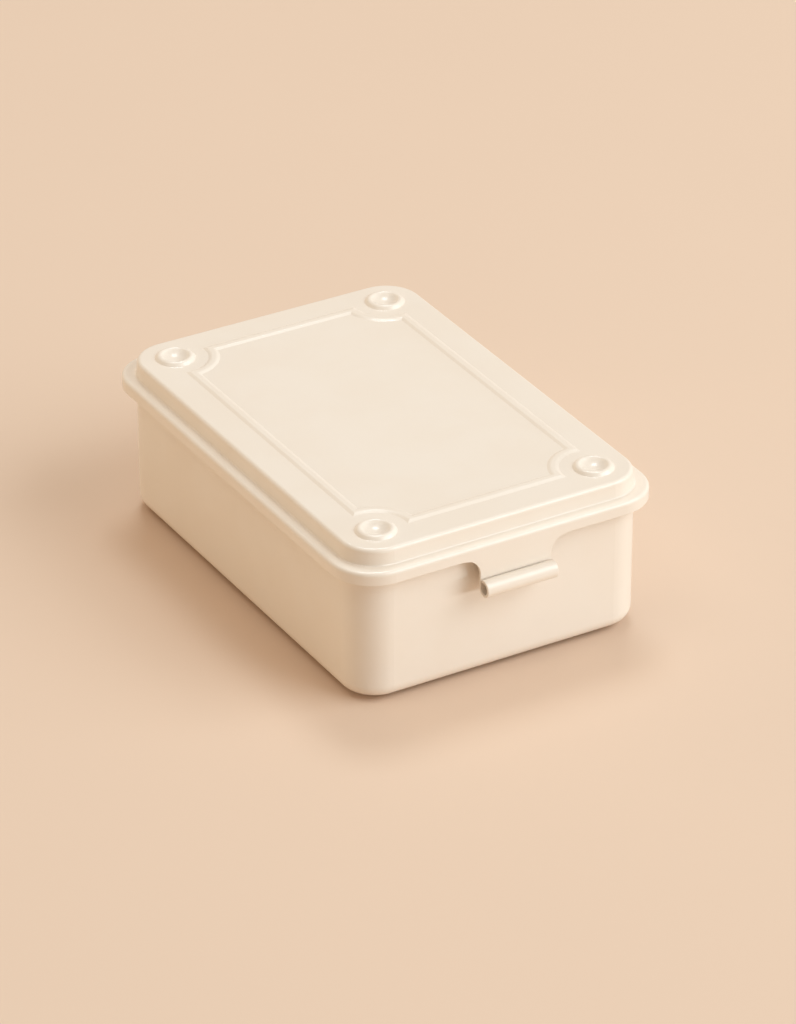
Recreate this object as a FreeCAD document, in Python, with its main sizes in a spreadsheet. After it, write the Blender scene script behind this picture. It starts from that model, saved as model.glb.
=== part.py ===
import FreeCAD
import Part
import Sketcher
import math
import os

# Small pressed steel storage box with a hinged lid. Millimetres; X is the short side, Y the long
# side, the latch faces -Y, and Z is up from the surface that the feet stand on.

SIZES = {
    # sheet steel that the pressings are made of
    "sheet_thickness": 0.9,
    # lid: skirt, ledge and raised crown
    "lid_width": 106.6,
    "lid_length": 154.0,
    "lid_corner_radius": 14.0,
    "panel_height": 51.85,
    "crown_height": 5.15,
    "skirt_depth": 4.1,
    "ledge_width": 3.7,
    "ledge_edge_radius": 1.2,
    "crease_radius": 0.6,
    "crown_draft": 7.0,
    "crown_corner_radius": 12.0,
    "crown_edge_radius": 1.3,
    "cut_edge_radius": 0.25,
    # raised bead that frames the panel
    "bead_inset": 14.4,
    "bead_width": 3.6,
    "bead_height": 0.42,
    "bead_draft": 68.0,
    "bead_edge_radius": 1.2,
    "bead_notch_radius": 10.2,
    # stacking bosses with a dished middle
    "boss_inset_x": 16.1,
    "boss_inset_y": 15.6,
    "boss_radius": 6.35,
    "boss_height": 1.05,
    "crest_inner_radius": 4.0,
    "crest_outer_radius": 5.6,
    "crest_rise": 0.3,
    "dish_depth": 1.35,
    "dish_floor": 0.55,
    # tray with its rolled rim and pressed feet
    "body_inset": 4.0,
    "body_corner_radius": 11.5,
    "base_edge_radius": 4.2,
    "rim_radius": 1.75,
    "rim_end_angle": -100.0,
    "lid_seat_gap": 0.3,
    "foot_height": 1.2,
    "foot_radius": 3.7,
    "foot_edge_radius": 0.7,
    # latch tongue with its rolled grip
    "tongue_width": 24.2,
    "tongue_offset": 1.0,
    "tongue_flare": 5.5,
    "tongue_seam_drop": 0.3,
    "grip_radius": 2.7,
    "grip_drop": 9.55,
    "grip_end_angle": 54.0,
    # catch that the tongue snaps over
    "catch_width": 16.0,
    "catch_rim_gap": 0.4,
    "catch_flange": 4.0,
    "catch_lead_length": 1.8,
    "catch_nose_length": 0.8,
    "catch_ramp_length": 1.2,
    "catch_nose_gap": 0.4,
    "catch_nose_radius": 0.35,
    "catch_rivet_spacing": 9.0,
    # hinge
    "knuckle_width": 20.0,
    "leaf_knuckle_width": 8.0,
    "knuckle_gap": 0.3,
    "knuckle_end_angle": 100.0,
    "hinge_drop": 5.6,
    "hinge_flare": 4.0,
    "pin_radius": 1.75,
    "pin_clearance": 0.05,
    "pin_head_radius": 2.25,
    "pin_head_length": 0.7,
    "leaf_drop": 12.0,
    "leaf_bend_radius": 0.5,
    "leaf_window_margin": 0.7,
    "hinge_rivet_drop": 7.0,
    "hinge_rivet_spacing": 22.0,
    # rivets
    "rivet_radius": 1.0,
    "rivet_clearance": 0.05,
    "rivet_head_radius": 1.8,
    "rivet_crown_radius": 1.2,
    "rivet_head_height": 0.7,
    # how far a cut runs past the sheet
    "cut_overrun": 1.0,
}

doc = FreeCAD.newDocument("storage_box")
sheet = doc.addObject("Spreadsheet::Sheet", "dims")
for row, (alias, number) in enumerate(SIZES.items(), start=1):
    sheet.set("A%d" % row, alias)
    sheet.set("B%d" % row, str(number))
    sheet.setAlias("B%d" % row, alias)
doc.recompute()


class Size:
    """A size that carries its number and the sheet formula that gives it."""

    def __init__(self, number, formula):
        self.number = number
        self.formula = formula

    def __add__(self, other):
        return Size(self.number + other.number, "(%s + %s)" % (self.formula, other.formula))

    def __sub__(self, other):
        return Size(self.number - other.number, "(%s - %s)" % (self.formula, other.formula))

    def __neg__(self):
        return Size(-self.number, "(-%s)" % self.formula)

    def __mul__(self, share):
        return Size(self.number * share, "(%s * %r)" % (self.formula, share))

    def __truediv__(self, share):
        return Size(self.number / share, "(%s / %r)" % (self.formula, share))

    def times(self, other):
        return Size(self.number * other.number, "(%s * %s)" % (self.formula, other.formula))

    def squared(self):
        return self.times(self)

    def over(self, other):
        return Size(self.number / other.number, "(%s / %s)" % (self.formula, other.formula))

    def root(self):
        return Size(math.sqrt(self.number), "sqrt(%s)" % self.formula)


def size(alias):
    return Size(float(sheet.get(alias)), "dims." + alias)


def bind(target, prop, value):
    """Set a property to a size and keep it tied to the sheet."""
    target.setExpression(prop, value.formula)


ZERO = Size(0.0, "0")
HALF_TURN = Size(180.0, "180")
FULL_TURN = Size(360.0, "360")
DOWNWARD = Size(-90.0, "-90")
SHEET = size("sheet_thickness")
OVERRUN = size("cut_overrun")

# levels above the floor
PANEL = size("panel_height")
LEDGE = PANEL - size("crown_height")
SKIRT_BOTTOM = LEDGE - size("skirt_depth")
BASE = size("foot_height")
RIM_LEVEL = LEDGE - SHEET - size("lid_seat_gap") - size("rim_radius")
GRIP_LEVEL = SKIRT_BOTTOM - size("grip_drop")
PIN_LEVEL = SKIRT_BOTTOM - size("hinge_drop")

# half sizes about the middle of the box
LID_X = size("lid_width") / 2
LID_Y = size("lid_length") / 2
CROWN_X = LID_X - size("ledge_width")
CROWN_Y = LID_Y - size("ledge_width")
BODY_X = LID_X - size("body_inset")
BODY_Y = LID_Y - size("body_inset")
BOSS_X = LID_X - size("boss_inset_x")
BOSS_Y = LID_Y - size("boss_inset_y")
# how far the inner face of the sheet moves in, as a share of the sheet, at the bead and at the crown
BEAD_LINING_SHARE = 0.194
CROWN_LINING_SHARE = 0.885
CORNERS = ((1, 1), (-1, 1), (-1, -1), (1, -1))

# hinge barrel, which rolls outward from the back skirt
BARREL_INNER = size("pin_radius") + size("pin_clearance")
BARREL_OUTER = BARREL_INNER + SHEET
PIN_Y = LID_Y - SHEET + BARREL_OUTER
KNUCKLE_HALF = size("knuckle_width") / 2
LEAF_HALF = KNUCKLE_HALF + size("knuckle_gap") + size("leaf_knuckle_width")
LEAF_TOP = PIN_LEVEL - BARREL_OUTER + SHEET

# top of the catch, under the rolled rim
CATCH_TOP = RIM_LEVEL - size("rim_radius") - size("catch_rim_gap")

# where the two rows of rivets go through the tray's walls
RIVET_ROWS = (
    ("catch_rivet", -BODY_Y, CATCH_TOP - size("catch_flange") / 2, size("catch_rivet_spacing")),
    ("hinge_rivet", BODY_Y, LEAF_TOP - size("hinge_rivet_drop"), size("hinge_rivet_spacing")),
)


def signed(value, sign):
    return value if sign > 0 else -value


def new_body(label):
    body = doc.addObject("PartDesign::Body", label)
    body.Label = label
    return body


def new_sketch(body, name, role, offset=ZERO):
    """A sketch on one of the body's origin planes, moved along the plane's normal."""
    plane = [item for item in body.Origin.OriginFeatures if item.Role == role][0]
    sketch = body.newObject("Sketcher::SketchObject", name)
    sketch.AttachmentSupport = (plane, [""])
    sketch.MapMode = "FlatFace"
    bind(sketch, "AttachmentOffset.Base.z", offset)
    return sketch


def constrain(sketch, value, *terms):
    """Add a dimension to a sketch and tie it to the sheet."""
    index = sketch.addConstraint(Sketcher.Constraint(*terms, value.number))
    bind(sketch, "Constraints[%d]" % index, value)


def place_point(sketch, geometry, end, x, y):
    """Fix a point of a sketch at x and y from the sketch's origin."""
    for axis, kind, value in ((-2, "DistanceX", x), (-1, "DistanceY", y)):
        if value is ZERO:
            sketch.addConstraint(Sketcher.Constraint("PointOnObject", geometry, end, axis))
        elif value.number > 0:
            constrain(sketch, value, kind, -1, 1, geometry, end)
        else:
            constrain(sketch, -value, kind, geometry, end, -1, 1)


def vector(x, y):
    return FreeCAD.Vector(x, y, 0)


def draw_outline(sketch, points, arcs=None):
    """A closed outline through points; arcs maps a stretch to its radius and the side of its centre."""
    arcs = arcs or {}
    ends = []
    for index, (x, y) in enumerate(points):
        here = vector(x.number, y.number)
        after = points[(index + 1) % len(points)]
        there = vector(after[0].number, after[1].number)
        if index not in arcs:
            ends.append((sketch.addGeometry(Part.LineSegment(here, there)), 1, 2))
            continue
        radius, side = arcs[index]
        half = (there - here) / 2
        left = vector(-half.y, half.x) / half.Length
        reach = math.sqrt(max(radius.number ** 2 - half.Length ** 2, 0))
        centre = here + half + left * (reach * side)
        first, last = (here, there) if side > 0 else (there, here)
        start_angle = math.atan2(first.y - centre.y, first.x - centre.x)
        end_angle = math.atan2(last.y - centre.y, last.x - centre.x)
        circle = Part.Circle(centre, FreeCAD.Vector(0, 0, 1), radius.number)
        geometry = sketch.addGeometry(Part.ArcOfCircle(circle, start_angle, end_angle))
        ends.append((geometry, 1, 2) if side > 0 else (geometry, 2, 1))
    for index, (geometry, start, _) in enumerate(ends):
        before, _, finish = ends[index - 1]
        sketch.addConstraint(Sketcher.Constraint("Coincident", before, finish, geometry, start))
        place_point(sketch, geometry, start, *points[index])
        if index in arcs:
            constrain(sketch, arcs[index][0], "Radius", geometry)


def draw_rectangle(sketch, left, bottom, right, top):
    draw_outline(sketch, ((left, bottom), (right, bottom), (right, top), (left, top)))


def draw_rounded(sketch, half_x, half_y, radius):
    """A rounded rectangle about the origin that starts in the middle of its +X side."""
    flat_x = half_x - radius
    flat_y = half_y - radius
    points = (
        (half_x, ZERO), (half_x, flat_y), (flat_x, half_y), (-flat_x, half_y), (-half_x, flat_y),
        (-half_x, -flat_y), (-flat_x, -half_y), (flat_x, -half_y), (half_x, -flat_y),
    )
    draw_outline(sketch, points, {index: (radius, 1) for index in (1, 3, 5, 7)})


def draw_circles(sketch, centres, radius):
    for x, y in centres:
        circle = Part.Circle(vector(x.number, y.number), FreeCAD.Vector(0, 0, 1), radius.number)
        geometry = sketch.addGeometry(circle)
        constrain(sketch, radius, "Radius", geometry)
        place_point(sketch, geometry, 3, x, y)


def draw_roll(sketch, centre_x, centre_y, outer, inner, start, end):
    """The section of a rolled sheet edge, from one angle on to the other, anticlockwise."""
    middle = vector(centre_x.number, centre_y.number)
    normal = FreeCAD.Vector(0, 0, 1)
    sweep = [math.radians(angle.number) for angle in (start, end)]
    arcs = []
    for radius in (outer, inner):
        circle = Part.Circle(middle, normal, radius.number)
        arcs.append(sketch.addGeometry(Part.ArcOfCircle(circle, *sweep)))
        constrain(sketch, radius, "Radius", arcs[-1])
    sketch.addConstraint(Sketcher.Constraint("Coincident", arcs[0], 3, arcs[1], 3))
    place_point(sketch, arcs[0], 3, centre_x, centre_y)
    for end_point, turn, angle in ((1, sweep[0], start), (2, sweep[1], end)):
        ray = vector(math.cos(turn), math.sin(turn))
        line = Part.LineSegment(middle + ray * inner.number, middle + ray * outer.number)
        edge = sketch.addGeometry(line)
        sketch.addConstraint(Sketcher.Constraint("Coincident", arcs[1], end_point, edge, 1))
        sketch.addConstraint(Sketcher.Constraint("Coincident", arcs[0], end_point, edge, 2))
        sketch.addConstraint(Sketcher.Constraint("PointOnObject", arcs[0], 3, edge))
        if round(angle.number) % 180 == 0:
            sketch.addConstraint(Sketcher.Constraint("Horizontal", edge))
        elif round(angle.number) % 90 == 0:
            sketch.addConstraint(Sketcher.Constraint("Vertical", edge))
        else:
            index = sketch.addConstraint(Sketcher.Constraint("Angle", edge, turn))
            sketch.setExpression("Constraints[%d]" % index, "%s * 1 deg" % angle.formula)


def pad(body, name, sketch, length, reverse=False, both_sides=False, draft=None):
    feature = body.newObject("PartDesign::Pad", name)
    feature.Profile = sketch
    bind(feature, "Length", length)
    feature.Reversed = reverse
    feature.Midplane = both_sides
    if draft:
        feature.setExpression("TaperAngle", "%s * 1 deg" % draft.formula)
    doc.recompute()
    return feature


def cut(body, name, sketch, depth, reverse=False, both_sides=False, draft=None):
    """A pocket that has to take material away."""
    before = body.Shape.Volume
    feature = body.newObject("PartDesign::Pocket", name)
    feature.Profile = sketch
    bind(feature, "Length", depth)
    feature.Reversed = reverse
    feature.Midplane = both_sides
    if draft:
        feature.setExpression("TaperAngle", "%s * 1 deg" % draft.formula)
    doc.recompute()
    if body.Shape.Volume >= before:
        raise RuntimeError(name + " cuts nothing")
    return feature


def edges_between(shape, low, high):
    """Names of the edges whose whole box lies between two corners."""
    names = []
    slack = SHEET.number / 100
    for index, edge in enumerate(shape.Edges, start=1):
        box = edge.BoundBox
        inside = all((
            low[0] - slack <= box.XMin, box.XMax <= high[0] + slack,
            low[1] - slack <= box.YMin, box.YMax <= high[1] + slack,
            low[2] - slack <= box.ZMin, box.ZMax <= high[2] + slack,
        ))
        if inside:
            names.append("Edge%d" % index)
    return names


def edges_at_level(shape, level, half_x, half_y):
    low = (-half_x.number, -half_y.number, level.number)
    high = (half_x.number, half_y.number, level.number)
    return edges_between(shape, low, high)


def round_edges(body, name, names, radius):
    base = body.Tip
    feature = body.newObject("PartDesign::Fillet", name)
    feature.Base = (base, names)
    bind(feature, "Radius", radius)
    doc.recompute()
    return feature


def face_at_level(shape, level):
    for index, face in enumerate(shape.Faces, start=1):
        if abs(face.BoundBox.ZMin - level.number) + abs(face.BoundBox.ZMax - level.number) < 1e-6:
            return "Face%d" % index
    raise RuntimeError("no flat face at that level")


def hollow(body, name, open_face):
    """Turn a block into a sheet pressing that is open at one face."""
    base = body.Tip
    feature = body.newObject("PartDesign::Thickness", name)
    feature.Base = (base, [open_face])
    bind(feature, "Value", SHEET)
    feature.Reversed = True
    feature.Mode = "Skin"
    feature.Join = "Intersection"
    doc.recompute()
    return feature


def corner_points(half_x, half_y):
    return [(signed(half_x, sx), signed(half_y, sy)) for sx, sy in CORNERS]


def rivet_places(spacing, level):
    return ((spacing / 2, level), (-(spacing / 2), level))


def cut_rivet_holes(body, row):
    """Bore a row of rivet holes through a wall."""
    name, y, level, spacing = row
    holes = new_sketch(body, name + "_holes", "XZ_Plane", -y)
    draw_circles(holes, rivet_places(spacing, level), size("rivet_radius") + size("rivet_clearance"))
    cut(body, name + "_bores", holes, (SHEET + OVERRUN) * 2, both_sides=True)


def make_body():
    """The tray: drawn walls and floor, hollow feet, rolled rim and rivet holes."""
    body = new_body("box_body")
    outline = new_sketch(body, "tray_outline", "XY_Plane", BASE)
    draw_rounded(outline, BODY_X, BODY_Y, size("body_corner_radius"))
    pad(body, "tray_block", outline, RIM_LEVEL - BASE)
    floor_edges = edges_at_level(body.Shape, BASE, BODY_X, BODY_Y)
    round_edges(body, "base_edge", floor_edges, size("base_edge_radius"))
    feet = new_sketch(body, "feet_outline", "XY_Plane", BASE)
    draw_circles(feet, corner_points(BOSS_X, BOSS_Y), size("foot_radius"))
    pad(body, "feet", feet, BASE, reverse=True)
    foot_edges = edges_at_level(body.Shape, ZERO, BODY_X, BODY_Y)
    round_edges(body, "feet_edge", foot_edges, size("foot_edge_radius"))
    hollow(body, "tray_wall", face_at_level(body.Shape, RIM_LEVEL))
    rim_x = BODY_X - SHEET + size("rim_radius")
    rim_y = BODY_Y - SHEET + size("rim_radius")
    rim_corner = size("body_corner_radius") - SHEET + size("rim_radius")
    path = new_sketch(body, "rim_path", "XY_Plane", RIM_LEVEL)
    draw_rounded(path, rim_x, rim_y, rim_corner)
    section = new_sketch(body, "rim_section", "XZ_Plane")
    roll_inner = size("rim_radius") - SHEET
    draw_roll(section, rim_x, RIM_LEVEL, size("rim_radius"), roll_inner, size("rim_end_angle"), HALF_TURN)
    doc.recompute()
    rim = body.newObject("PartDesign::AdditivePipe", "rim_roll")
    rim.Profile = section
    rim.Spine = (path, [])
    doc.recompute()
    for row in RIVET_ROWS:
        cut_rivet_holes(body, row)
    return body


def bead_outline(sketch, inset, notch):
    """The panel's frame: straight sides that curve inward round the four bosses."""
    half_x = LID_X - inset
    half_y = LID_Y - inset
    stop_x = BOSS_X - (notch.squared() - (half_y - BOSS_Y).squared()).root()
    stop_y = BOSS_Y - (notch.squared() - (half_x - BOSS_X).squared()).root()
    points = []
    for sx, sy in CORNERS:
        pair = [(signed(half_x, sx), signed(stop_y, sy)), (signed(stop_x, sx), signed(half_y, sy))]
        points += pair if sx == sy else pair[::-1]
    draw_outline(sketch, points, {index: (notch, -1) for index in (0, 2, 4, 6)})


def add_bead(body):
    """Press the bead: raise its whole field on both faces of the sheet, then sink the middle again."""
    lining = SHEET * BEAD_LINING_SHARE
    width = size("bead_width")
    draft = size("bead_draft")
    height = size("bead_height")
    underside = PANEL - SHEET
    for name, level, margin in (("bead", PANEL, ZERO), ("bead_hollow", underside, lining)):
        field = new_sketch(body, name + "_field", "XY_Plane", level)
        bead_outline(field, size("bead_inset") + margin, size("bead_notch_radius") + margin)
        if level is PANEL:
            pad(body, name, field, height, draft=-draft)
        else:
            cut(body, name, field, height, reverse=True, draft=-draft)
    for name, level, margin in (("hollow_middle", underside, lining), ("middle", PANEL, ZERO)):
        field = new_sketch(body, name + "_field", "XY_Plane", level)
        bead_outline(field, size("bead_inset") + width - margin, size("bead_notch_radius") + width - margin)
        if level is PANEL:
            cut(body, name, field, height, reverse=True, draft=draft)
        else:
            pad(body, name, field, height, draft=draft)
    half_x = LID_X - size("bead_inset")
    half_y = LID_Y - size("bead_inset")
    crest_edges = edges_at_level(body.Shape, PANEL + height, half_x, half_y)
    round_edges(body, "bead_edge", crest_edges, size("bead_edge_radius"))


def add_boss(body, corner, sx, sy):
    """A formed boss: dished middle, rounded crest and a sloping flank, in the lid's own sheet."""
    crest = PANEL + size("boss_height") - size("crest_rise")
    dish = crest - size("dish_depth")
    inner = size("crest_inner_radius")
    outer = size("crest_outer_radius")
    chord = outer - inner
    rise = size("crest_rise")
    depth = size("dish_depth")
    crest_round = (chord.squared() / 4 + rise.squared()).over(rise * 2)
    dish_round = (inner.squared() + depth.squared()).over(depth * 2)
    lower_depth = depth - SHEET + size("dish_floor")
    lower_round = (inner.squared() + lower_depth.squared()).over(lower_depth * 2)
    section = new_sketch(body, "boss_section_%d" % corner, "XZ_Plane", -signed(BOSS_Y, sy))
    axis = signed(BOSS_X, sx)
    upper = ((ZERO, dish), (inner, crest), (outer, crest), (size("boss_radius"), PANEL))
    points = [(axis + reach, level) for reach, level in upper]
    points += [(axis + reach, level - SHEET) for reach, level in reversed(upper[1:])]
    points += [(axis, dish - size("dish_floor"))]
    rounds = {0: (dish_round, 1), 1: (crest_round, -1), 5: (crest_round, 1), 6: (lower_round, -1)}
    draw_outline(section, points, rounds)
    boss = body.newObject("PartDesign::Revolution", "boss_%d" % corner)
    boss.Profile = section
    middle = Part.LineSegment(vector(axis.number, 0), vector(axis.number, PANEL.number))
    line = section.addGeometry(middle, True)
    section.addConstraint(Sketcher.Constraint("PointOnObject", line, 1, -1))
    section.addConstraint(Sketcher.Constraint("Vertical", line))
    section.addConstraint(Sketcher.Constraint("PointOnObject", 0, 1, line))
    boss.ReferenceAxis = (section, ["Axis0"])
    doc.recompute()


def add_hinge_tongue(body):
    """The back of the skirt runs down into a knuckle that is rolled round the pin."""
    half = KNUCKLE_HALF
    flare = size("hinge_flare")
    root = SKIRT_BOTTOM
    top = root + SHEET
    plate = new_sketch(body, "hinge_tongue_outline", "XZ_Plane", -LID_Y)
    points = (
        (-half, PIN_LEVEL), (half, PIN_LEVEL), (half, root - flare), (half + flare, root),
        (half + flare, top), (-half - flare, top), (-half - flare, root), (-half, root - flare),
    )
    draw_outline(plate, points, {2: (flare, -1), 6: (flare, -1)})
    pad(body, "hinge_tongue", plate, SHEET)
    roll = new_sketch(body, "hinge_roll_section", "YZ_Plane")
    end = size("knuckle_end_angle") + FULL_TURN
    draw_roll(roll, PIN_Y, PIN_LEVEL, BARREL_OUTER, BARREL_INNER, HALF_TURN, end)
    pad(body, "hinge_roll", roll, size("knuckle_width"), both_sides=True)


def flare_reach(half, flare, drop):
    """Half width of a flared tongue at a drop below the skirt."""
    return half + flare - (flare.squared() - (flare - drop).squared()).root()


def add_latch_root(body):
    """The short stretch of the front skirt that the latch tongue grows from."""
    half = size("tongue_width") / 2
    flare = size("tongue_flare")
    drop = size("tongue_seam_drop")
    seam = flare_reach(half, flare, drop)
    root = SKIRT_BOTTOM
    top = root + SHEET
    middle = size("tongue_offset")
    stub = new_sketch(body, "latch_root_outline", "XZ_Plane", LID_Y)
    points = (
        (middle - seam, root - drop), (middle + seam, root - drop), (middle + half + flare, root),
        (middle + half + flare, top), (middle - half - flare, top), (middle - half - flare, root),
    )
    draw_outline(stub, points, {1: (flare, -1), 5: (flare, -1)})
    pad(body, "latch_root", stub, SHEET, reverse=True)


def form_tier(body, name, level, height, half_x, half_y, radius, draft=None, inside=False):
    """One tier of the lid, or of the hollow inside it."""
    outline = new_sketch(body, name + "_outline", "XY_Plane", level)
    draw_rounded(outline, half_x, half_y, radius)
    if inside:
        cut(body, name, outline, height, reverse=True, draft=draft)
    else:
        pad(body, name, outline, height, draft=draft)


def outer_loop(shape, level, half_x, half_y):
    """Names of the edges at a level that run round a rectangle without entering it."""
    names = []
    for name in edges_at_level(shape, level, LID_X, LID_Y):
        ends = [vertex.Point for vertex in shape.getElement(name).Vertexes]
        if all(abs(end.x) > half_x.number or abs(end.y) > half_y.number for end in ends):
            names.append(name)
    return names


def form_lid_block(body, lining):
    """Stack the skirt and the crown, or hollow them out with every face moved in by the lining."""
    inside = lining is SHEET
    stem = "_inside" if inside else ""
    inset = lining * CROWN_LINING_SHARE
    crease = size("crease_radius")
    form_tier(
        body, "skirt" + stem, SKIRT_BOTTOM, size("skirt_depth") - lining,
        LID_X - lining, LID_Y - lining, size("lid_corner_radius") - lining, inside=inside,
    )
    form_tier(
        body, "crown" + stem, LEDGE - lining, size("crown_height"),
        CROWN_X - inset, CROWN_Y - inset, size("crown_corner_radius") - inset,
        draft=-size("crown_draft"), inside=inside,
    )
    ledge_edges = outer_loop(body.Shape, LEDGE - lining, CROWN_X + crease, CROWN_Y + crease)
    round_edges(body, "ledge_edge" + stem, ledge_edges, size("ledge_edge_radius") - lining)
    crease_edges = edges_at_level(body.Shape, LEDGE - lining, CROWN_X, CROWN_Y)
    round_edges(body, "crease" + stem, crease_edges, crease + lining)
    crown_edges = edges_at_level(body.Shape, PANEL - lining, CROWN_X, CROWN_Y)
    round_edges(body, "crown_edge" + stem, crown_edges, size("crown_edge_radius") - lining)


def make_lid():
    """The lid pressing: skirt, ledge, crown, bead, bosses, hinge knuckle and the root of the latch."""
    body = new_body("lid")
    form_lid_block(body, ZERO)
    form_lid_block(body, SHEET)
    cut_edges = edges_at_level(body.Shape, SKIRT_BOTTOM, LID_X, LID_Y)
    round_edges(body, "skirt_cut_edge", cut_edges, size("cut_edge_radius"))
    add_bead(body)
    holes = new_sketch(body, "boss_holes", "XY_Plane", PANEL)
    draw_circles(holes, corner_points(BOSS_X, BOSS_Y), size("boss_radius"))
    cut(body, "boss_cut", holes, (SHEET + OVERRUN) * 2, both_sides=True)
    for corner, (sx, sy) in enumerate(CORNERS):
        add_boss(body, corner, sx, sy)
    add_hinge_tongue(body)
    add_latch_root(body)
    return body


def make_tongue():
    """The springy latch tongue: a flared plate that runs down into a rolled grip."""
    body = new_body("latch_tongue")
    half = size("tongue_width") / 2
    flare = size("tongue_flare")
    drop = size("tongue_seam_drop")
    seam = flare_reach(half, flare, drop)
    root = SKIRT_BOTTOM
    middle = size("tongue_offset")
    plate = new_sketch(body, "plate_outline", "XZ_Plane", LID_Y)
    points = (
        (middle - half, GRIP_LEVEL), (middle + half, GRIP_LEVEL), (middle + half, root - flare),
        (middle + seam, root - drop), (middle - seam, root - drop), (middle - half, root - flare),
    )
    draw_outline(plate, points, {2: (flare, -1), 4: (flare, -1)})
    pad(body, "plate", plate, SHEET, reverse=True)
    grip = new_sketch(body, "grip_section", "YZ_Plane", middle)
    grip_y = -LID_Y + SHEET - size("grip_radius")
    inner = size("grip_radius") - SHEET
    draw_roll(grip, grip_y, GRIP_LEVEL, size("grip_radius"), inner, size("grip_end_angle"), FULL_TURN)
    pad(body, "grip", grip, size("tongue_width"), both_sides=True)
    for name, side, tip in (
        ("left_cut_edges", middle - half, middle - seam),
        ("right_cut_edges", middle + half, middle + seam),
    ):
        low = (min(side.number, tip.number), -2 * LID_Y.number, ZERO.number)
        high = (max(side.number, tip.number), ZERO.number, (root - drop).number)
        names = edges_between(body.Shape, low, high)
        rising = [edge for edge in names if body.Shape.getElement(edge).BoundBox.ZLength > drop.number]
        round_edges(body, name, rising, size("cut_edge_radius"))
    return body


def make_catch():
    """The catch: a folded strip on the front wall with a rounded nose below its flange."""
    body = new_body("catch_plate")
    wall = -BODY_Y
    nose = -LID_Y + SHEET + size("catch_nose_gap")
    top = CATCH_TOP
    lead = top - size("catch_flange")
    land = lead - size("catch_lead_length")
    ramp = land - size("catch_nose_length")
    base = ramp - size("catch_ramp_length")
    strip = new_sketch(body, "strip_section", "YZ_Plane")
    front = ((wall - SHEET, base), (nose, ramp), (nose, land), (wall - SHEET, lead), (wall - SHEET, top))
    points = list(front) + [(y + SHEET, level) for y, level in reversed(front)]
    draw_outline(strip, points)
    pad(body, "strip", strip, size("catch_width"), both_sides=True)
    half = size("catch_width").number / 2
    for name, level in (("nose_upper", land), ("nose_lower", ramp)):
        corner = (nose.number, level.number)
        names = edges_between(body.Shape, (-half, *corner), (half, *corner))
        round_edges(body, name, names, size("catch_nose_radius"))
    cut_rivet_holes(body, RIVET_ROWS[0])
    return body


def make_leaf():
    """The hinge leaf on the back wall, with an arm and a rolled knuckle at each end."""
    body = new_body("hinge_leaf")
    wall = BODY_Y
    arm = LEAF_TOP - SHEET
    foot = LEAF_TOP - size("leaf_drop")
    angle = new_sketch(body, "leaf_section", "YZ_Plane")
    points = (
        (wall, foot), (wall + SHEET, foot), (wall + SHEET, arm),
        (PIN_Y, arm), (PIN_Y, LEAF_TOP), (wall, LEAF_TOP),
    )
    draw_outline(angle, points)
    pad(body, "leaf", angle, LEAF_HALF * 2, both_sides=True)
    for name, y, level, radius in (
        ("inner_bend", wall + SHEET, arm, size("leaf_bend_radius")),
        ("outer_bend", wall, LEAF_TOP, size("leaf_bend_radius") + SHEET),
    ):
        low = (-LEAF_HALF.number, y.number, level.number)
        high = (LEAF_HALF.number, y.number, level.number)
        round_edges(body, name, edges_between(body.Shape, low, high), radius)
    roll = new_sketch(body, "leaf_roll_section", "YZ_Plane")
    draw_roll(roll, PIN_Y, PIN_LEVEL, BARREL_OUTER, BARREL_INNER, DOWNWARD, HALF_TURN)
    pad(body, "leaf_roll", roll, LEAF_HALF * 2, both_sides=True)
    window = new_sketch(body, "knuckle_window", "XY_Plane", LEAF_TOP)
    half = KNUCKLE_HALF + size("knuckle_gap")
    near = wall + SHEET + size("leaf_window_margin")
    draw_rectangle(window, -half, near, half, PIN_Y + BARREL_OUTER + OVERRUN)
    cut(body, "knuckle_gap_cut", window, (BARREL_OUTER + OVERRUN) * 4, both_sides=True)
    cut_rivet_holes(body, RIVET_ROWS[1])
    return body


def make_pin():
    """The hinge pin with a low head at each end."""
    body = new_body("hinge_pin")
    shank = new_sketch(body, "pin_section", "YZ_Plane")
    draw_circles(shank, ((PIN_Y, PIN_LEVEL),), size("pin_radius"))
    span = LEAF_HALF + size("knuckle_gap")
    pad(body, "pin_shank", shank, span * 2, both_sides=True)
    for name, place, back in (("right_head", span, False), ("left_head", -span, True)):
        head = new_sketch(body, name + "_section", "YZ_Plane", place)
        draw_circles(head, ((PIN_Y, PIN_LEVEL),), size("pin_head_radius"))
        pad(body, name, head, size("pin_head_length"), reverse=back)
    return body


def part_solid(kind, name, level, sizes):
    """A Part primitive that stands on the rivet's own axis."""
    solid = doc.addObject("Part::" + kind, name)
    for prop, value in sizes.items():
        bind(solid, prop, value)
    bind(solid, "Placement.Base.z", level)
    return solid


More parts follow.
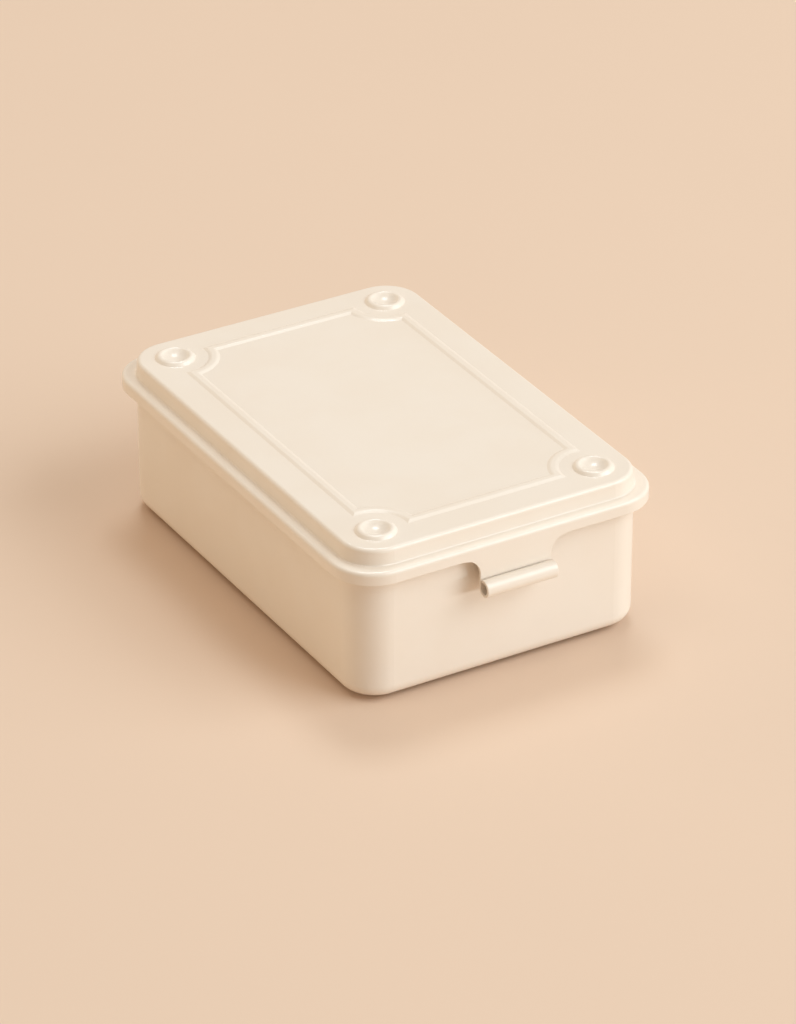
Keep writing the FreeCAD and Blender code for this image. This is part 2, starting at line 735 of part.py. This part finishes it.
def make_rivets(label, row, outward):
    """A pair of rivets through a plate and the tray's wall, with a low head on each side."""
    name, y, level, spacing = row
    stem_sizes = {"Radius": size("rivet_radius"), "Height": SHEET * 2}
    head_sizes = {
        "Radius1": size("rivet_head_radius"), "Radius2": size("rivet_crown_radius"),
        "Height": size("rivet_head_height"),
    }
    rivets = []
    for index, (x, z) in enumerate(rivet_places(spacing, level)):
        stem = "%s_%d" % (name, index)
        shank = part_solid("Cylinder", stem + "_shank", -SHEET, stem_sizes)
        outer_head = part_solid("Cone", stem + "_outer_head", SHEET, head_sizes)
        inner_head = part_solid("Cone", stem + "_inner_head", -SHEET, head_sizes)
        inner_head.Placement.Rotation = FreeCAD.Rotation(FreeCAD.Vector(1, 0, 0), 180)
        rivet = doc.addObject("Part::MultiFuse", stem)
        rivet.Shapes = [shank, outer_head, inner_head]
        rivet.Placement.Rotation = FreeCAD.Rotation(FreeCAD.Vector(1, 0, 0), -90 * outward)
        bind(rivet, "Placement.Base.x", x)
        bind(rivet, "Placement.Base.y", y)
        bind(rivet, "Placement.Base.z", z)
        rivets.append(rivet)
    group = doc.addObject("Part::Compound", label)
    group.Links = rivets
    group.Label = label
    doc.recompute()
    return group


def write_parts(parts):
    """Check every sub-part and write it under its own name."""
    doc.recompute()
    os.makedirs("parts", exist_ok=True)
    for item in doc.Objects:
        if "Invalid" in item.State or "Error" in item.State:
            raise RuntimeError(item.Label + " does not build")
    for part in parts:
        if part.Shape.isNull() or not part.Shape.isValid() or not part.Shape.Solids:
            raise RuntimeError(part.Label + " is not a sound solid")
        part.Shape.exportStep("parts/%s.step" % part.Label)
        print(part.Label, len(part.Shape.Solids), round(part.Shape.Volume, 1))


write_parts([
    make_body(),
    make_lid(),
    make_tongue(),
    make_catch(),
    make_rivets("catch_rivets", RIVET_ROWS[0], -1),
    make_leaf(),
    make_rivets("hinge_rivets", RIVET_ROWS[1], 1),
    make_pin(),
])
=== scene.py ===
from math import tau

import bmesh
import bpy
from bpy.props import FloatProperty, FloatVectorProperty, PointerProperty
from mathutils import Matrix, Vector

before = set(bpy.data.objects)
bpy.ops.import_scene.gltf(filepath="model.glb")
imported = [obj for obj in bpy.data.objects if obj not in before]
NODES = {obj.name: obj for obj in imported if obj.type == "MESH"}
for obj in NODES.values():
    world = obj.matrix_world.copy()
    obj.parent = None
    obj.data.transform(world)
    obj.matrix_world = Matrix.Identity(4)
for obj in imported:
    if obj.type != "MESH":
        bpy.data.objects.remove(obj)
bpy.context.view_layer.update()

bl_info = {
    "name": "Pressed Steel Storage Box",
    "version": (1, 0, 0),
    "blender": (4, 5, 0),
    "location": "View3D > Sidebar > Storage Box",
    "description": "Finishes for a small powder-coated steel box with a hinged lid, and a plain studio",
    "category": "Object",
}

MM = 0.001

# The colour sockets of a Mix node, by number, because its other kinds have sockets of the same names.
MIX_A = 6
MIX_B = 7
MIX_RESULT = 2

# The part of a noise's range, round its middle, over which the coat turns from thin to full.
CLOUD_RANGE = (0.35, 0.65)
# The part of the orange peel's noise that sways the roughness, and how far it sways it either way.
PEEL_RANGE = (0.3, 0.7)
PEEL_GLOSS = 0.03
PEEL_DEPTH = 0.012 * MM
RING_STEP = 1.5708 * MM
RING_DEPTH = 0.01 * MM
# A wave texture of scale one runs through this many radians in a length of one.
WAVE_RADIANS = 20

LAMPS = ("key", "low", "sky", "spark", "fill")
# Seen from low down, the flat lid would mirror these two whole and turn white.
UNMIRRORED_LAMPS = ("low", "fill")
LAMP_AIM = Vector((0.0, 0.0, 30 * MM))

FLOOR_HALF = 9.0
FLOOR_CELLS = 8
# A hair below the feet, so that the two never share one plane.
FLOOR_DROP = 0.05 * MM
FLOOR_MOTTLE = 90 * MM
MOTTLE_SHADE = 0.985

# Height of the picture on the sensor in millimetres, and the depth of the view in metres.
PICTURE_HEIGHT = 36
NEAREST_SEEN = 0.05
FARTHEST_SEEN = 20


def linear(hex_colour):
    """Linear colour of an sRGB hex value."""
    channels = [int(hex_colour[index:index + 2], 16) / 255 for index in (1, 3, 5)]
    return tuple(c / 12.92 if c <= 0.04045 else ((c + 0.055) / 1.055) ** 2.4 for c in channels)


class FinishSettings(bpy.types.PropertyGroup):
    """Colours and surface sizes of the box."""

    coat: FloatVectorProperty(
        name="Coat", description="Cream of the powder coat where it lies at full thickness",
        subtype="COLOR", min=0, max=1, default=linear("#F1E6D8"))
    coat_thin: FloatVectorProperty(
        name="Thin coat", description="Slightly warmer cream where the powder lies thinner",
        subtype="COLOR", min=0, max=1, default=linear("#F0E4D5"))
    coat_roughness: FloatProperty(
        name="Coat roughness", description="Roughness of the cured coat",
        min=0, max=1, default=0.32)
    skin: FloatProperty(
        name="Skin", description="How much of the coat's smooth upper skin shows", min=0, max=1, default=0.35)
    skin_roughness: FloatProperty(
        name="Skin roughness", description="Roughness of the coat's smooth upper skin",
        min=0, max=1, default=0.1)
    coat_peel: FloatProperty(
        name="Orange peel", description="Width of one wave in the cured coat's surface",
        unit="LENGTH", default=1.4 * MM)
    coat_cloud: FloatProperty(
        name="Coat cloud", description="Width of one patch where the coat lies thicker or thinner",
        unit="LENGTH", default=26 * MM)
    steel: FloatVectorProperty(
        name="Pin steel", description="Bright zinc-plated steel of the hinge pin",
        subtype="COLOR", min=0, max=1, default=linear("#C9CACB"))
    steel_dull: FloatVectorProperty(
        name="Dull steel", description="Greyer plating in the turning marks",
        subtype="COLOR", min=0, max=1, default=linear("#A9ABAD"))


class StageSettings(bpy.types.PropertyGroup):
    """Floor, light and camera."""

    floor: FloatVectorProperty(
        name="Floor", description="Pale warm colour of the floor and its far end",
        subtype="COLOR", min=0, max=1, default=linear("#E8CEB7"))
    room: FloatVectorProperty(
        name="Room", description="Warm light that the room sends back from all round",
        subtype="COLOR", min=0, max=1, default=linear("#FFEBD4"))
    room_strength: FloatProperty(
        name="Room strength", description="Level of the light from all round", min=0, default=0.35)
    key: FloatVectorProperty(
        name="Key lamp", description="Colour of the large lamp in front on the right",
        subtype="COLOR", min=0, max=1, default=linear("#EBF7FF"))
    key_power: FloatProperty(
        name="Key power", description="Power of the key lamp in watts", min=0, default=52.5)
    key_size: FloatVectorProperty(
        name="Key size", description="Width and height of the key lamp's face",
        size=2, unit="LENGTH", default=(2.6, 1.8))
    key_place: FloatVectorProperty(
        name="Key place", description="Middle of the key lamp", subtype="TRANSLATION", unit="LENGTH",
        default=(1.56, -1.58, 1.9))
    low: FloatVectorProperty(
        name="Low lamp", description="Colour of the long low lamp in front on the right",
        subtype="COLOR", min=0, max=1, default=linear("#EBF7FF"))
    low_power: FloatProperty(
        name="Low lamp power", description="Power of the low lamp in watts", min=0, default=39.0)
    low_size: FloatVectorProperty(
        name="Low lamp size", description="Width and height of the low lamp's face",
        size=2, unit="LENGTH", default=(1.8, 0.5))
    low_place: FloatVectorProperty(
        name="Low lamp place", description="Middle of the low lamp", subtype="TRANSLATION", unit="LENGTH",
        default=(2.1, -2.7, 0.3))
    sky: FloatVectorProperty(
        name="Ceiling lamp", description="Colour of the wide lamp overhead, a little to the left",
        subtype="COLOR", min=0, max=1, default=linear("#FFF8EE"))
    sky_power: FloatProperty(
        name="Ceiling power", description="Power of the ceiling lamp in watts", min=0, default=20.3)
    sky_size: FloatVectorProperty(
        name="Ceiling size", description="Width and depth of the ceiling lamp's face",
        size=2, unit="LENGTH", default=(2.2, 2.2))
    sky_place: FloatVectorProperty(
        name="Ceiling place", description="Middle of the ceiling lamp", subtype="TRANSLATION", unit="LENGTH",
        default=(-0.9, 0.2, 3.2))
    spark: FloatVectorProperty(
        name="High lamp", description="Colour of the high lamp behind on the right, for crisp highlights",
        subtype="COLOR", min=0, max=1, default=linear("#EBF7FF"))
    spark_power: FloatProperty(
        name="High lamp power", description="Power of the high lamp in watts", min=0, default=26.6)
    spark_size: FloatVectorProperty(
        name="High lamp size", description="Width and depth of the high lamp's face",
        size=2, unit="LENGTH", default=(1.0, 1.0))
    spark_place: FloatVectorProperty(
        name="High lamp place", description="Middle of the high lamp", subtype="TRANSLATION", unit="LENGTH",
        default=(0.706, 1.206, 2.768))
    fill: FloatVectorProperty(
        name="Fill lamp", description="Warm colour of the long low lamp behind on the left",
        subtype="COLOR", min=0, max=1, default=linear("#FFECC8"))
    fill_power: FloatProperty(
        name="Fill power", description="Power of the fill lamp in watts", min=0, default=19.8)
    fill_size: FloatVectorProperty(
        name="Fill size", description="Width and height of the fill lamp's face",
        size=2, unit="LENGTH", default=(2.0, 0.5))
    fill_place: FloatVectorProperty(
        name="Fill place", description="Middle of the fill lamp", subtype="TRANSLATION", unit="LENGTH",
        default=(-2.2, 2.0, 0.3))
    eye: FloatVectorProperty(
        name="Camera", description="Where the camera stands", subtype="TRANSLATION", unit="LENGTH",
        default=(-0.67667, -1.16824, 0.79047))
    aim: FloatVectorProperty(
        name="Aim", description="Point in the middle of the picture", subtype="TRANSLATION", unit="LENGTH",
        default=(0.00214, -0.00688, 0.01956))
    lens: FloatProperty(
        name="Lens", description="Focal length in millimetres on a picture 36 mm high", default=179.47)


def add_node(tree, kind, inputs=None, **settings):
    """Add a shader node with its settings, and fill each input with a value or a link."""
    node = tree.nodes.new("ShaderNode" + kind)
    for name, value in settings.items():
        setattr(node, name, value)
    for key, value in (inputs or {}).items():
        if isinstance(value, bpy.types.NodeSocket):
            tree.links.new(value, node.inputs[key])
        else:
            node.inputs[key].default_value = value
    return node


def new_material(name):
    """An empty node material and its node tree."""
    material = bpy.data.materials.new(name)
    material.use_nodes = True
    tree = material.node_tree
    tree.nodes.clear()
    return material, tree


def rgba(colour):
    """A colour with full opacity."""
    return (*colour, 1.0)


def powder_coat():
    """The cream coat, made once and shared by every painted piece."""
    name = "satin powder-coated steel"
    if name in bpy.data.materials:
        return bpy.data.materials[name]
    finish = bpy.context.scene.box_finish
    material, tree = new_material(name)
    # Sprayed powder that was melted in an oven: an even satin cream with a faint orange peel, which only
    # shows as a slight waver in the highlights, and broad patches where the coat lies a little thinner.
    # The powder flows out to a smoother skin, which draws crisp lines along the pressed edges.
    place = add_node(tree, "TexCoord").outputs["Object"]
    cloud = add_node(tree, "TexNoise", {
        "Vector": place, "Scale": 1 / finish.coat_cloud, "Detail": 3.0, "Roughness": 0.55})
    shade = add_node(tree, "MapRange", {
        "Value": cloud.outputs["Fac"], "From Min": CLOUD_RANGE[0], "From Max": CLOUD_RANGE[1]},
        interpolation_type="SMOOTHSTEP")
    colour = add_node(tree, "Mix", {
        "Factor": shade.outputs["Result"], MIX_A: rgba(finish.coat_thin), MIX_B: rgba(finish.coat)},
        data_type="RGBA")
    peel = add_node(tree, "TexNoise", {
        "Vector": place, "Scale": 1 / finish.coat_peel, "Detail": 2.0, "Roughness": 0.4})
    waver = add_node(tree, "Bump", {
        "Height": peel.outputs["Fac"], "Strength": 0.35, "Distance": PEEL_DEPTH})
    gloss = add_node(tree, "MapRange", {
        "Value": peel.outputs["Fac"], "From Min": PEEL_RANGE[0], "From Max": PEEL_RANGE[1],
        "To Min": finish.coat_roughness - PEEL_GLOSS, "To Max": finish.coat_roughness + PEEL_GLOSS})
    shader = add_node(tree, "BsdfPrincipled", {
        "Base Color": colour.outputs[MIX_RESULT], "Roughness": gloss.outputs["Result"], "IOR": 1.5,
        "Normal": waver.outputs["Normal"],
        "Coat Weight": finish.skin, "Coat Roughness": finish.skin_roughness})
    add_node(tree, "OutputMaterial", {"Surface": shader.outputs["BSDF"]})
    return material


def pin_steel():
    """The bare pin of the hinge."""
    finish = bpy.context.scene.box_finish
    material, tree = new_material("zinc-plated turned steel")
    # Drawn wire with a thin bright plating: fine rings round the pin catch the light one by one.
    # Real turning marks are about 0.05 mm apart, drawn here about 1.6 mm apart so that they show.
    place = add_node(tree, "TexCoord").outputs["Object"]
    rings = add_node(tree, "TexWave", {
        "Vector": place, "Scale": tau / WAVE_RADIANS / RING_STEP, "Distortion": 1.5, "Detail": 2.0,
        "Detail Scale": 2.0}, bands_direction="X")
    colour = add_node(tree, "Mix", {
        "Factor": rings.outputs["Fac"], MIX_A: rgba(finish.steel_dull), MIX_B: rgba(finish.steel)},
        data_type="RGBA")
    groove = add_node(tree, "Bump", {
        "Height": rings.outputs["Fac"], "Strength": 0.3, "Distance": RING_DEPTH})
    shader = add_node(tree, "BsdfPrincipled", {
        "Base Color": colour.outputs[MIX_RESULT], "Metallic": 1.0, "Roughness": 0.34,
        "Normal": groove.outputs["Normal"]})
    add_node(tree, "OutputMaterial", {"Surface": shader.outputs["BSDF"]})
    return material


def finish_node(name, material):
    """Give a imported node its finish."""
    for slot in NODES[name].material_slots:
        slot.material = material


class STORAGEBOX_OT_lid(bpy.types.Operator):
    """Finish the lid pressing"""

    bl_idname = "storagebox.lid"
    bl_label = "Lid"

    def execute(self, context):
        finish_node("lid", powder_coat())
        return {"FINISHED"}


class STORAGEBOX_OT_tray(bpy.types.Operator):
    """Finish the tray with its rolled rim"""

    bl_idname = "storagebox.tray"
    bl_label = "Tray"

    def execute(self, context):
        finish_node("box_body", powder_coat())
        return {"FINISHED"}


class STORAGEBOX_OT_latch(bpy.types.Operator):
    """Finish the latch tongue, the catch and its rivets"""

    bl_idname = "storagebox.latch"
    bl_label = "Latch"

    def execute(self, context):
        for name in ("latch_tongue", "catch_plate", "catch_rivets"):
            finish_node(name, powder_coat())
        return {"FINISHED"}


class STORAGEBOX_OT_hinge(bpy.types.Operator):
    """Finish the hinge leaf, its rivets and the pin"""

    bl_idname = "storagebox.hinge"
    bl_label = "Hinge"

    def execute(self, context):
        for name in ("hinge_leaf", "hinge_rivets"):
            finish_node(name, powder_coat())
        finish_node("hinge_pin", pin_steel())
        return {"FINISHED"}


class STORAGEBOX_OT_stage(bpy.types.Operator):
    """Lay the floor, hang the lamps, light the room and set the camera"""

    bl_idname = "storagebox.stage"
    bl_label = "Stage"

    def execute(self, context):
        scene = context.scene
        stage = scene.box_stage
        self.lay_floor(scene, stage)
        self.light_room(scene, stage)
        for name in LAMPS:
            self.hang_lamp(scene, stage, name)
        self.set_camera(scene, stage)
        scene.view_settings.view_transform = "Standard"
        return {"FINISHED"}

    def lay_floor(self, scene, stage):
        sheet = bmesh.new()
        bmesh.ops.create_grid(sheet, x_segments=FLOOR_CELLS, y_segments=FLOOR_CELLS, size=FLOOR_HALF)
        mesh = bpy.data.meshes.new("floor")
        sheet.to_mesh(mesh)
        sheet.free()
        floor = bpy.data.objects.new("floor", mesh)
        floor.location.z = -FLOOR_DROP
        scene.collection.objects.link(floor)
        material, tree = new_material("matt painted board")
        # Matt emulsion on board: no gloss, with a roller's faint mottle.
        place = add_node(tree, "TexCoord").outputs["Object"]
        mottle = add_node(tree, "TexNoise", {"Vector": place, "Scale": 1 / FLOOR_MOTTLE, "Detail": 2.0})
        darker = tuple(channel * MOTTLE_SHADE for channel in stage.floor)
        colour = add_node(tree, "Mix", {
            "Factor": mottle.outputs["Fac"], MIX_A: rgba(darker), MIX_B: rgba(stage.floor)},
            data_type="RGBA")
        shader = add_node(tree, "BsdfPrincipled", {
            "Base Color": colour.outputs[MIX_RESULT], "Roughness": 0.9, "Specular IOR Level": 0.1})
        add_node(tree, "OutputMaterial", {"Surface": shader.outputs["BSDF"]})
        mesh.materials.append(material)

    def light_room(self, scene, stage):
        world = bpy.data.worlds.new("studio room")
        scene.world = world
        world.use_nodes = True
        tree = world.node_tree
        tree.nodes.clear()
        glow = add_node(tree, "Background", {"Color": rgba(stage.room), "Strength": stage.room_strength})
        backdrop = add_node(tree, "Background", {"Color": rgba(stage.floor), "Strength": 1.0})
        # To the eye and in mirror images, the floor's colour goes on past its far end.
        ray = add_node(tree, "LightPath")
        seen = ray.outputs["Is Camera Ray"]
        for kind in ("Is Glossy Ray", "Is Transmission Ray"):
            seen = add_node(tree, "Math", {0: seen, 1: ray.outputs[kind]}, operation="MAXIMUM").outputs[0]
        mix = add_node(tree, "MixShader", {0: seen, 1: glow.outputs[0], 2: backdrop.outputs[0]})
        add_node(tree, "OutputWorld", {"Surface": mix.outputs[0]})

    def hang_lamp(self, scene, stage, name):
        lamp = bpy.data.lights.new(name + " lamp", "AREA")
        lamp.shape = "RECTANGLE"
        lamp.size, lamp.size_y = getattr(stage, name + "_size")
        lamp.energy = getattr(stage, name + "_power")
        lamp.color = getattr(stage, name)
        holder = bpy.data.objects.new(name + " lamp", lamp)
        holder.visible_glossy = name not in UNMIRRORED_LAMPS
        self.point_at(scene, holder, getattr(stage, name + "_place"), LAMP_AIM)

    def set_camera(self, scene, stage):
        camera = bpy.data.cameras.new("camera")
        camera.sensor_fit = "VERTICAL"
        camera.sensor_height = PICTURE_HEIGHT
        camera.lens = stage.lens
        camera.clip_start = NEAREST_SEEN
        camera.clip_end = FARTHEST_SEEN
        holder = bpy.data.objects.new("camera", camera)
        self.point_at(scene, holder, stage.eye, Vector(stage.aim))
        scene.camera = holder

    def point_at(self, scene, holder, place, target):
        holder.location = place
        holder.rotation_euler = (target - Vector(place)).to_track_quat("-Z", "Y").to_euler()
        scene.collection.objects.link(holder)


OPERATORS = (
    STORAGEBOX_OT_lid,
    STORAGEBOX_OT_tray,
    STORAGEBOX_OT_latch,
    STORAGEBOX_OT_hinge,
    STORAGEBOX_OT_stage,
)


class STORAGEBOX_PT_sidebar(bpy.types.Panel):
    """Lists the pieces of the box and their settings"""

    bl_idname = "STORAGEBOX_PT_sidebar"
    bl_label = "Storage Box"
    bl_space_type = "VIEW_3D"
    bl_region_type = "UI"
    bl_category = "Storage Box"

    def draw(self, context):
        for operator in OPERATORS:
            self.layout.operator(operator.bl_idname)
        for settings in (context.scene.box_finish, context.scene.box_stage):
            column = self.layout.column()
            for name in settings.bl_rna.properties.keys():
                if name not in ("rna_type", "name"):
                    column.prop(settings, name)


CLASSES = (FinishSettings, StageSettings, *OPERATORS, STORAGEBOX_PT_sidebar)


def register():
    for item in CLASSES:
        bpy.utils.register_class(item)
    bpy.types.Scene.box_finish = PointerProperty(type=FinishSettings)
    bpy.types.Scene.box_stage = PointerProperty(type=StageSettings)


def unregister():
    del bpy.types.Scene.box_stage
    del bpy.types.Scene.box_finish
    for item in reversed(CLASSES):
        bpy.utils.unregister_class(item)


def main():
    register()
    bpy.ops.storagebox.lid()
    bpy.ops.storagebox.tray()
    bpy.ops.storagebox.latch()
    bpy.ops.storagebox.hinge()
    bpy.ops.storagebox.stage()


if __name__ == "__main__":
    main()
